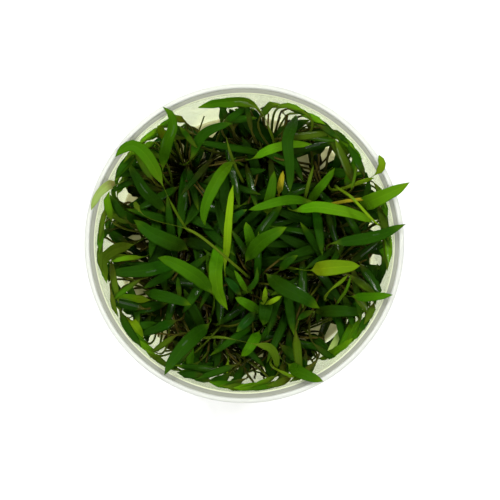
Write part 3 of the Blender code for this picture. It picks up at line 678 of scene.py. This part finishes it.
def rooted(line, crown):
    """Lengthen a stalk down to the stem that it grows from."""
    foot = line[0].copy()
    foot[:2] = crown[:2] + (line[0, :2] - crown[:2]) * 0.45
    foot[2] = GEL_TOP + 0.2 * MM
    return np.concatenate(([foot], line))


def nearest_crown(point, crowns):
    """The name of the crown that stands nearest to a point, as seen from above."""
    return min(crowns, key=lambda name: math.hypot(point[0] - crowns[name][0], point[1] - crowns[name][1]))


def line_of(path, width, blade_from, roll):
    """A leaf's line from a plain path: the blade starts at a part of the path and tapers both ways."""
    marks = lengths_along(path)
    parts = marks / marks[-1]
    rows = []
    heading = unit((path[-1] - path[len(path) // 2]) * (1, 1, 0))
    side = unit(np.cross(UP, heading))
    for i, point in enumerate(path):
        forward = unit(path[min(i + 1, len(path) - 1)] - path[max(i - 1, 0)])
        level = unit(side - forward * np.dot(side, forward))
        above = np.cross(forward, level)
        rolled = math.cos(roll) * level + math.sin(roll) * above
        u = (parts[i] - blade_from) / (1 - blade_from)
        bulge = math.sin(math.pi * u**WIDEST_SHIFT) ** BLADE_FULLNESS if 0 < u < 1 else 0
        stalk = STALK * (1 if u < 1 - STALK_FADE else (1 - u) / STALK_FADE)
        half = stalk + (width / 2 - STALK) * bulge
        rows.append(np.concatenate((point, rolled, (half,))))
    return np.array(rows)


class Space:
    """What already stands in the cup, for keeping new growth from running through it."""

    def __init__(self):
        self.lows = np.empty((0, 3))
        self.highs = np.empty((0, 3))
        self.trees = []

    def add(self, vertices, faces):
        points = np.array(vertices)
        self.lows = np.vstack((self.lows, points.min(axis=0)))
        self.highs = np.vstack((self.highs, points.max(axis=0)))
        self.trees.append(BVHTree.FromPolygons([Vector(v) for v in points], faces))

    def is_free(self, vertices, faces):
        points = np.array(vertices)
        near = (self.lows < points.max(axis=0)).all(axis=1) & (self.highs > points.min(axis=0)).all(axis=1)
        tree = BVHTree.FromPolygons([Vector(v) for v in points], faces)
        return not any(tree.overlap(self.trees[i]) for i in np.flatnonzero(near))


def ribbon(line):
    """A plain band along a leaf's line, for testing where it runs."""
    offsets = line[:, 3:6] * line[:, 6:7]
    vertices = np.concatenate((line[:, :3] + offsets, line[:, :3] - offsets))
    count = len(line)
    faces = [(i, i + 1, i + 1 + count, i + count) for i in range(count - 1)]
    return vertices, faces


def swayed(point, sway, chance):
    return point + np.array([chance.uniform(-sway, sway) for _ in range(3)])


def grown_line(points, width, crown, chance, sway):
    """A leaf's line over the given points, with a stalk that rises from a crown."""
    stalk_end = points[0]
    toward = unit((stalk_end - crown) * (1, 1, 0))
    out = toward * CROWN_RADIUS * chance.uniform(0.2, 0.8)
    start = crown + out + UP * chance.uniform(0, 3) * MM
    reach = STALK_EASE * np.linalg.norm(stalk_end - start)
    direction = unit(points[1] - points[0])
    first = start + unit(UP + toward * chance.uniform(0.1, 0.6)) * reach
    second = stalk_end - unit(direction + UP * 0.9) * reach
    first = swayed(first, sway, chance)
    second = swayed(second, sway, chance)
    stalk = bezier(start, first, second, stalk_end, STALK_POINTS)
    path = np.concatenate((stalk[:-1], smooth_curve(points, BLADE_POINTS)))
    path = inside_wall(path, 0.3 * width + 0.3 * MM)
    marks = lengths_along(path)
    blade_from = marks[STALK_POINTS - 1] / marks[-1]
    return line_of(path, width, blade_from, chance.uniform(-MOST_ROLL, MOST_ROLL))


def grow_small_leaf(growth, space, points, width, tone, chance, crown):
    """One of the small leaves that were listed, by the freest of several ways up."""
    for attempt in range(SMALL_TRIES):
        line = grown_line(points, width, crown, chance, SMALL_SWAY * attempt / SMALL_TRIES)
        if space.is_free(*ribbon(line)):
            break
    space.add(*ribbon(line))
    add_leaf(growth, line, tone, chance, SMALL_DETAIL)


def layer_targets(ring, spacing, chance):
    """Loosely spaced points in a ring of the cup, as seen from above."""
    rows = int(2 * RIM_RADIUS / spacing) + 2
    for row in range(rows):
        for column in range(rows):
            x = (column - rows / 2 + 0.5 * (row % 2) + chance.uniform(-JITTER, JITTER)) * spacing
            y = (row - rows / 2 + chance.uniform(-JITTER, JITTER)) * spacing * ROW_HEIGHT
            if ring[0] * MM <= math.hypot(x, y) < ring[1] * MM:
                yield x / MM, y / MM


def some_near_crown(target, crowns, chance):
    """The name of the crown that a leaf over a target grows from, mostly the nearest."""
    near = sorted(crowns, key=lambda name: math.hypot(*(crowns[name] - target)[:2]))
    return near[min(int(abs(chance.gauss(0, CROWN_SPREAD))), 2)]


def leaf_heading(target, crown, ring, x, y, chance):
    """The way that a leaf of a layer points: away from its crown, or along the wall near the edge."""
    away = (target - crown)[:2]
    spread = HEADING_SPREAD + NEAR_CROWN / (NEAR_CROWN + np.hypot(*away))
    azimuth = math.atan2(away[1], away[0]) + chance.gauss(0, spread)
    if ring[0]:
        least = LEAST_TURN if ring[0] < WALL_RING else LEAST_WALL_TURN
        azimuth = math.atan2(y, x) + chance.choice((-1, 1)) * chance.uniform(least, MOST_TURN)
    return np.array((math.cos(azimuth), math.sin(azimuth), 0))


def grow_layer(growths, crowns, space, layer, chance):
    """One layer of the thicket: leaves that lean out from their crowns, clear of what stands above."""
    ring, heights, widths, lengths, spacing, tones = layer
    for x, y in layer_targets(ring, spacing * MM, chance):
        for _ in range(LAYER_TRIES):
            target = seen_from_above(x, y, chance.uniform(*heights) * MM)
            name = some_near_crown(target, crowns, chance)
            along = leaf_heading(target, crowns[name], ring, x, y, chance)
            length = chance.uniform(*lengths) * MM
            course = (*BLADE_COURSE, (0.5, 0.1 + 0.5 * chance.uniform(*CLIMBS)))
            points = np.array([target + (along * a + UP * b) * length for a, b in course])
            points[:, 2] = np.maximum(points[:, 2], GEL_TOP + 1 * MM)
            width = chance.uniform(*widths) * MM
            line = grown_line(points, width, crowns[name], chance, LAYER_SWAY)
            upper = line[HIDDEN_ROWS:]
            if blocks_clearing(upper, CLEAR_SHARE * width / MM) or not space.is_free(*ribbon(upper)):
                continue
            space.add(*ribbon(line))
            add_leaf(growths[name], line, chance.choice(tones), chance, LOW_DETAIL, deep=True)
            break


def add_stalks(growth, crown, chance):
    """Bare stalks that rise from the stem and bend over under the leaves."""
    for number in range(STALKS_PER_CROWN):
        angle = math.tau * (number + chance.uniform(-0.4, 0.4)) / STALKS_PER_CROWN
        bend = angle + chance.gauss(0, 0.5)
        reach = chance.uniform(7, 19) * MM
        rise = chance.uniform(24, 40) * MM - GEL_TOP
        points = []
        for heading, (out, up) in zip((angle, angle, bend, bend), STALK_COURSE):
            spot = np.array((math.cos(heading), math.sin(heading), 0)) * reach * out
            points.append(crown + spot + UP * up * rise)
        path = inside_wall(np.array(points), 1.0 * MM)
        radius = chance.uniform(0.3, 0.42) * MM
        add_tube(growth, path, radius, chance.choice(("brown", "stalk", "brown")), taper=0.8, sides=5)


def add_stem(growth, crown):
    """The short stem, wrapped in the bases of old stalks, and its root plug."""
    levels = (
        (ROOT_TIP, 0.3),
        (GEL_TOP * 0.6, 0.62),
        (GEL_TOP - 1 * MM, 0.92),
        (GEL_TOP + 1 * MM, 1.0),
        (GEL_TOP + 2.4 * MM, 0.8),
        (CROWN_TOP - 1.2 * MM, 0.55),
        (CROWN_TOP, 0.3),
    )
    rings = []
    colours = []
    for height, part in levels:
        ring = []
        for k in range(STEM_SIDES):
            angle = math.tau * k / STEM_SIDES
            ridge = 1 - RIDGE_DEPTH * (0.5 + 0.5 * math.cos(RIDGES * angle + height * RIDGE_TWIST))
            radius = CROWN_RADIUS * part * ridge
            ring.append((crown[0] + math.cos(angle) * radius, crown[1] + math.sin(angle) * radius, height))
        rings.append(ring)
        colours.append(mix(COLOURS["root"], COLOURS["olive"], (height - GEL_TOP) / (3 * MM)))
    across = [0.3 + 0.4 * k / STEM_SIDES for k in range(STEM_SIDES)]
    along = [STALK_MAP * 0.5] * len(levels)
    growth.add_rings(rings, colours, across, along)


def add_roots(growth, crown, chance):
    """Pale roots that wander out from the stem through the gel."""
    top = GEL_TOP - 1.5 * MM
    for number in range(ROOTS_PER_CROWN):
        angle = math.tau * (number + chance.uniform(-0.3, 0.3)) / ROOTS_PER_CROWN
        reach = chance.uniform(5, 13) * MM
        depth = chance.uniform(2.5, 8) * MM
        start = np.array((crown[0], crown[1], top))
        points = [start]
        for step in (0.35, 0.7, 1.0):
            bend = angle + chance.uniform(-0.5, 0.5)
            spot = start + np.array((math.cos(bend), math.sin(bend), 0)) * reach * step
            spot[2] = top - (top - depth) * step
            most = inner_radius(spot[2]) - 1.5 * MM
            radius = math.hypot(spot[0], spot[1])
            if radius > most:
                spot[:2] *= most / radius
            points.append(spot)
        add_tube(growth, points, ROOT_RADIUS, "root", taper=0.35, sides=5)


def node_material(name):
    material = bpy.data.materials.new(name)
    material.use_nodes = True
    return material, material.node_tree.nodes, material.node_tree.links


def leaf_material(name, shine, roughest, smoothest):
    """A leaf: colour from the leaf's tone, which carries the painted shade of depth, with a pale midrib, fine
    long nerves and soft mottling.
    """
    material, nodes, links = node_material(name)
    shader = nodes["Principled BSDF"]
    tone = nodes.new("ShaderNodeVertexColor")
    tone.layer_name = "tone"
    mapped = nodes.new("ShaderNodeUVMap")
    mapped.uv_map = "leaf"
    parts = nodes.new("ShaderNodeSeparateXYZ")
    links.new(mapped.outputs[0], parts.inputs[0])
    place = nodes.new("ShaderNodeTexCoord")

    def feed(socket, value):
        if isinstance(value, bpy.types.NodeSocket):
            links.new(value, socket)
        else:
            socket.default_value = value

    def maths(operation, a, b=0.0, clamp=False):
        node = nodes.new("ShaderNodeMath")
        node.operation = operation
        node.use_clamp = clamp
        feed(node.inputs[0], a)
        feed(node.inputs[1], b)
        return node.outputs[0]

    def noise(scale, detail):
        node = nodes.new("ShaderNodeTexNoise")
        node.inputs["Scale"].default_value = scale
        node.inputs["Detail"].default_value = detail
        links.new(place.outputs["Object"], node.inputs["Vector"])
        return node.outputs["Fac"]

    def blended(amount, a, b, kind):
        node = nodes.new("ShaderNodeMix")
        node.data_type = "RGBA"
        node.blend_type = kind
        feed(node.inputs[0], amount)
        feed(node.inputs[6], a)
        feed(node.inputs[7], b)
        return node.outputs[2]

    def tinted(base, amount, tint):
        """The base colour with a share of it multiplied by a tint."""
        return blended(amount, base, blended(1.0, base, (*tint, 1), "MULTIPLY"), "MIX")

    across = maths("ABSOLUTE", maths("SUBTRACT", parts.outputs["X"], 0.5))
    on_blade = maths("MULTIPLY", maths("SUBTRACT", parts.outputs["Y"], STALK_MAP + 0.03), 14, clamp=True)
    midrib = maths("SUBTRACT", 1, maths("MULTIPLY", across, MIDRIB_SHARPNESS), clamp=True)
    midrib = maths("MULTIPLY", midrib, on_blade)
    nerves = maths("ABSOLUTE", maths("SINE", maths("MULTIPLY", across, NERVE_DENSITY)))
    nerves = maths("MULTIPLY", maths("POWER", nerves, NERVE_SHARPNESS), on_blade)
    mottle = noise(MOTTLE_SCALE, 3)
    patches = maths("MULTIPLY", maths("SUBTRACT", noise(PATCH_SCALE, 2), 0.42), 1.6, clamp=True)
    wet = maths("MULTIPLY", maths("SUBTRACT", noise(WET_SCALE, 2), 0.52), 12, clamp=True)

    base = tinted(tone.outputs["Color"], patches, (1.12, 1.12, 0.85))
    base = tinted(base, maths("MULTIPLY", mottle, 0.5), (0.72, 0.8, 0.7))
    base = tinted(base, maths("MULTIPLY", nerves, 0.28), (0.62, 0.74, 0.6))
    base = tinted(base, maths("MULTIPLY", midrib, 0.45), (1.7, 1.5, 1.5))
    links.new(base, shader.inputs["Base Color"])
    roughness = maths("SUBTRACT", roughest, maths("MULTIPLY", wet, roughest - smoothest))
    links.new(roughness, shader.inputs["Roughness"])
    shader.inputs["Specular IOR Level"].default_value = shine
    bump = nodes.new("ShaderNodeBump")
    bump.inputs["Strength"].default_value = 0.35
    bump.inputs["Distance"].default_value = 0.12 * MM
    height = maths("ADD", maths("MULTIPLY", nerves, -0.6), maths("MULTIPLY", mottle, 0.5))
    links.new(height, bump.inputs["Height"])
    links.new(bump.outputs[0], shader.inputs["Normal"])
    return material


def clear_material(name, colour, roughness, ior, see_through=1.0, tint=(1, 1, 1)):
    """A clear material that lets the lamps' light through to what is behind it."""
    material, nodes, links = node_material(name)
    shader = nodes["Principled BSDF"]
    shader.inputs["Base Color"].default_value = (*colour, 1)
    shader.inputs["Roughness"].default_value = roughness
    shader.inputs["IOR"].default_value = ior
    shader.inputs["Transmission Weight"].default_value = see_through
    passing = nodes.new("ShaderNodeBsdfTransparent")
    passing.inputs["Color"].default_value = (*tint, 1)
    ray = nodes.new("ShaderNodeLightPath")
    either = nodes.new("ShaderNodeMixShader")
    links.new(ray.outputs["Is Shadow Ray"], either.inputs[0])
    links.new(shader.outputs[0], either.inputs[1])
    links.new(passing.outputs[0], either.inputs[2])
    links.new(either.outputs[0], nodes["Material Output"].inputs["Surface"])
    return material


def turned(name, profile, steps, material):
    """A closed body turned about Z from a profile of (radius, height) that ends down its outer side."""
    mesh = bpy.data.meshes.new(name)
    edges = [(i, i + 1) for i in range(len(profile) - 1)]
    mesh.from_pydata([(r, 0, z) for r, z in profile], edges, [])
    thing = bpy.data.objects.new(name, mesh)
    bpy.context.scene.collection.objects.link(thing)
    screw = thing.modifiers.new("turn", "SCREW")
    screw.steps = steps
    screw.render_steps = steps
    screw.use_merge_vertices = True
    screw.merge_threshold = 0.01 * MM
    bpy.context.view_layer.update()
    graph = bpy.context.evaluated_depsgraph_get()
    thing.data = bpy.data.meshes.new_from_object(thing.evaluated_get(graph))
    thing.modifiers.clear()
    thing.data.shade_smooth()
    thing.data.set_sharp_from_angle(angle=math.radians(35))
    thing.data.materials.clear()
    thing.data.materials.append(material)
    return thing


def rounded(points, radius, count=4):
    """A profile with its inner corners rounded."""
    out = [points[0]]
    for before, corner, after in zip(points, points[1:], points[2:]):
        corner = np.array(corner)
        back = np.array(before) - corner
        ahead = np.array(after) - corner
        cut = min(radius, 0.45 * np.linalg.norm(back), 0.45 * np.linalg.norm(ahead))
        a = corner + unit(back) * cut
        b = corner + unit(ahead) * cut
        for t in np.linspace(0, 1, count + 1):
            out.append(tuple((1 - t) ** 2 * a + 2 * t * (1 - t) * corner + t**2 * b))
    out.append(points[-1])
    return out


def dress(piece, node):
    """Let a finished piece stand for a solid: the solid is hidden and the piece hangs on the root body."""
    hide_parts(node)
    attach(piece, "root")


def build_cup():
    seat = RIM_RADIUS - BEAD_WIDTH
    bead_bottom = CUP_HEIGHT - BEAD_DEPTH
    neck = inner_radius(LEDGE_HEIGHT)
    profile = (
        (0, FLOOR),
        (inner_radius(FLOOR), FLOOR),
        (neck, LEDGE_HEIGHT),
        (seat, LEDGE_HEIGHT),
        (seat, CUP_HEIGHT),
        (RIM_RADIUS, CUP_HEIGHT),
        (RIM_RADIUS, bead_bottom),
        (NECK_RADIUS, bead_bottom - ROUND),
        (BASE_RADIUS, 0),
        (0, 0),
    )
    # The wall's yellow-green tint is a painted reflection of the leaves and gel inside the cup, not a colour
    # of the plastic
    wall = clear_material("clear_plastic", (0.80, 0.86, 0.62), roughness=0.02, ior=1.2)
    cup = turned("clear_cup", rounded(profile, CUP_ROUNDING), CUP_STEPS, wall)
    for material in (
        # A painted highlight on the neck's inner edge, standing in for light caught where the wall turns into
        # the seat
        clear_material("neck_edge_painted_highlight", (0.64, 0.68, 0.46), roughness=0.3, ior=1.4, see_through=0.1),
        # A painted dark shade on the lid seat, standing in for the dark band that refraction makes in the rim
        clear_material("lid_seat_painted_shade", (0.24, 0.25, 0.20), roughness=0.4, ior=1.4, see_through=0.1),
        clear_material("rim_bead", (0.60, 0.61, 0.58), roughness=0.35, ior=1.3, see_through=0.35),
    ):
        cup.data.materials.append(material)
    plain, painted_highlight_edge, painted_shade_seat, bead = range(4)
    for face in cup.data.polygons:
        radius = math.hypot(face.center.x, face.center.y)
        if face.center.z < bead_bottom:
            continue
        if radius >= neck + PAINTED_HIGHLIGHT_WIDTH:
            # Seat faces get the painted shade; the bead beyond keeps its frosted plastic
            face.material_index = painted_shade_seat if radius < seat - 0.1 * MM else bead
        else:
            # Faces at the top of the inner wall get the painted highlight
            face.material_index = painted_highlight_edge if face.center.z > LEDGE_HEIGHT - PAINTED_HIGHLIGHT_DEPTH else plain
    dress(cup, "cup")


def build_gel():
    bottom = FLOOR + GEL_GAP
    top = GEL_TOP + MENISCUS
    profile = (
        (0, GEL_TOP),
        (inner_radius(top) - MENISCUS_WIDTH, GEL_TOP),
        (inner_radius(top) - GEL_GAP, top),
        (inner_radius(bottom) - GEL_GAP, bottom),
        (0, bottom),
    )
    material = clear_material(
        "nutrient_gel", (0.50, 0.49, 0.27), roughness=0.12, ior=1.34, see_through=0.3, tint=(0.85, 0.85, 0.7)
    )
    gel = turned("nutrient_gel", rounded(profile, GEL_ROUNDING), GEL_STEPS, material)
    dress(gel, "gel")


def crown_places():
    """Where each crown stands on the gel, from the lowest points of its root plug."""
    crowns = {}
    for name in sorted(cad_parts):
        if name.startswith("crown"):
            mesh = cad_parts[name].data
            foot = [v.co for v in mesh.vertices if v.co.z < ROOT_TIP + 0.1 * MM]
            middle = sum(foot, Vector()) / len(foot)
            crowns[name] = np.array((middle.x, middle.y, GEL_TOP))
    return crowns


def grow_upper_leaves(crowns, space, materials):
    """A fine leaf over each of the solids' upper leaves."""
    for name in sorted(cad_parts):
        if name in ("cup", "gel") or name in crowns:
            continue
        points, near = welded(name)
        tips = tips_of(points, near, UPPER_RINGS)
        assert len(tips) == 1, (name, len(tips))
        line = leaf_line(tips[0], points, near)
        assert 4 * (len(line) - 1) + 1 == len(points), (name, len(line), len(points))
        line = rooted(line, crowns[nearest_crown(line[0], crowns)])
        tone = LEAF_TONES.get(name, name.split("_")[0])
        growth = Growth()
        add_leaf(growth, line, tone, random.Random(name), FINE_DETAIL)
        space.add(growth.vertices, growth.faces)
        dress(growth.make(f"fine_{name}", materials), name)


def grow_crown(name, crown, space):
    """A crown's low leaves, its stem, its roots and its bare stalks."""
    growth = Growth()
    points, near = welded(name)
    chance = random.Random(name)
    for tip in tips_of(points, near, LOW_RINGS):
        if math.hypot(*(points[tip] - crown)[:2]) < 4 * MM or points[tip][2] < CROWN_TOP + 2 * MM:
            continue
        line = leaf_line(tip, points, near)
        foot = line[0].copy()
        foot[:3] = crown + UP * 3 * MM
        line = np.concatenate(([foot], line))
        add_leaf(growth, line, chance.choice(LOW_TONES), chance, SMALL_DETAIL, deep=True)
        space.add(*ribbon(line))
    add_stem(growth, crown)
    add_roots(growth, crown, chance)
    add_stalks(growth, crown, chance)
    return growth


def build_plants():
    materials = [
        leaf_material("leaf", shine=0.02, roughest=0.5, smoothest=0.25),
        leaf_material("wet_leaf", shine=0.5, roughest=0.2, smoothest=0.12),
    ]
    space = Space()
    crowns = crown_places()
    grow_upper_leaves(crowns, space, materials)
    growths = {name: grow_crown(name, crown, space) for name, crown in crowns.items()}
    chance = random.Random(5)
    for tone, width, heights, places in SMALL_LEAVES:
        points = placed(heights, places)
        name = nearest_crown(points[0], crowns)
        grow_small_leaf(growths[name], space, points, width * MM, tone, chance, crowns[name])
    for tone, heights, places in BARE_STALKS:
        points = placed(heights, places)
        add_tube(growths[nearest_crown(points[0], crowns)], points, BARE_STALK_RADIUS, tone)
    for number, layer in enumerate(reversed(LAYERS)):
        grow_layer(growths, crowns, space, layer, random.Random(20 + number))
    for name, growth in growths.items():
        dress(growth.make("plant_" + name.split("_")[1], materials), name)


def placed(heights, places):
    """Points in space, from where they are seen and the heights that they pass through."""
    plan = np.array(places, dtype=float)
    marks = np.concatenate(((0.0,), np.cumsum(np.linalg.norm(np.diff(plan, axis=0), axis=1))))
    parts = marks / marks[-1]
    steps = parts if len(heights) == len(places) else np.linspace(0, 1, len(heights))
    levels = np.interp(parts, steps, np.array(heights, dtype=float) * MM)
    return np.array([seen_from_above(x, y, z) for (x, y), z in zip(plan, levels)])


def build_stage():
    """A plain pale floor, a soft white surrounding and a ring of small softboxes overhead."""
    bpy.ops.mesh.primitive_plane_add(size=4, location=(0, 0, -0.2 * MM))
    floor = bpy.context.object
    floor.name = "floor"
    material, nodes, _ = node_material("floor")
    nodes["Principled BSDF"].inputs["Base Color"].default_value = (0.95, 0.95, 0.95, 1)
    nodes["Principled BSDF"].inputs["Roughness"].default_value = 0.9
    floor.data.materials.append(material)
    floor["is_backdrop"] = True
    world = bpy.data.worlds.new("studio")
    bpy.context.scene.world = world
    world.use_nodes = True
    nodes, links = world.node_tree.nodes, world.node_tree.links
    direction = nodes.new("ShaderNodeTexCoord")
    parts = nodes.new("ShaderNodeSeparateXYZ")
    ramp = nodes.new("ShaderNodeValToRGB")
    links.new(direction.outputs["Generated"], parts.inputs[0])
    links.new(parts.outputs["Z"], ramp.inputs[0])
    links.new(ramp.outputs[0], nodes["Background"].inputs["Color"])
    for element, position, grey in zip(ramp.color_ramp.elements, (0.35, 0.95), (1, ZENITH)):
        element.position = position
        element.color = (grey, grey, grey, 1)
    nodes["Background"].inputs["Strength"].default_value = WORLD_STRENGTH
    for number, (turn, lean, power) in enumerate(LAMPS):
        angle, tilt = math.radians(turn), math.radians(lean)
        toward = Vector((math.cos(angle) * math.sin(tilt), math.sin(angle) * math.sin(tilt), math.cos(tilt)))
        lamp = bpy.data.lights.new(f"softbox_{number + 1}", "AREA")
        lamp.size = LAMP_SIZE
        lamp.energy = power
        holder = bpy.data.objects.new(lamp.name, lamp)
        bpy.context.scene.collection.objects.link(holder)
        holder.location = toward * LAMP_DISTANCE
        holder.rotation_euler = (-toward).to_track_quat("-Z", "Y").to_euler()
    bpy.context.scene.view_settings.view_transform = "Standard"


def build_camera():
    """Straight above the cup, with the cup's centre where the picture has it."""
    lens = bpy.data.cameras.new("camera")
    lens.lens = lens.sensor_width * EYE_HEIGHT / FIELD
    camera = bpy.data.objects.new("camera", lens)
    bpy.context.scene.collection.objects.link(camera)
    scale = FIELD / IMAGE_SIZE
    x = (IMAGE_SIZE / 2 - CUP_CENTRE_PX[0]) * scale
    y = (CUP_CENTRE_PX[1] - IMAGE_SIZE / 2) * scale
    camera.location = (x, y, CUP_HEIGHT + EYE_HEIGHT)
    bpy.context.scene.camera = camera


def write_size():
    """Put the solids' box and the dressed object's box side by side as plain lists; they are not written
    anywhere.
    """
    boxes = {"cad": cad_box, "visual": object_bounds()}
    plain = {name: [list(corner) for corner in box] for name, box in boxes.items()}


build_stage()
build_camera()
build_cup()
build_gel()
build_plants()
write_size()
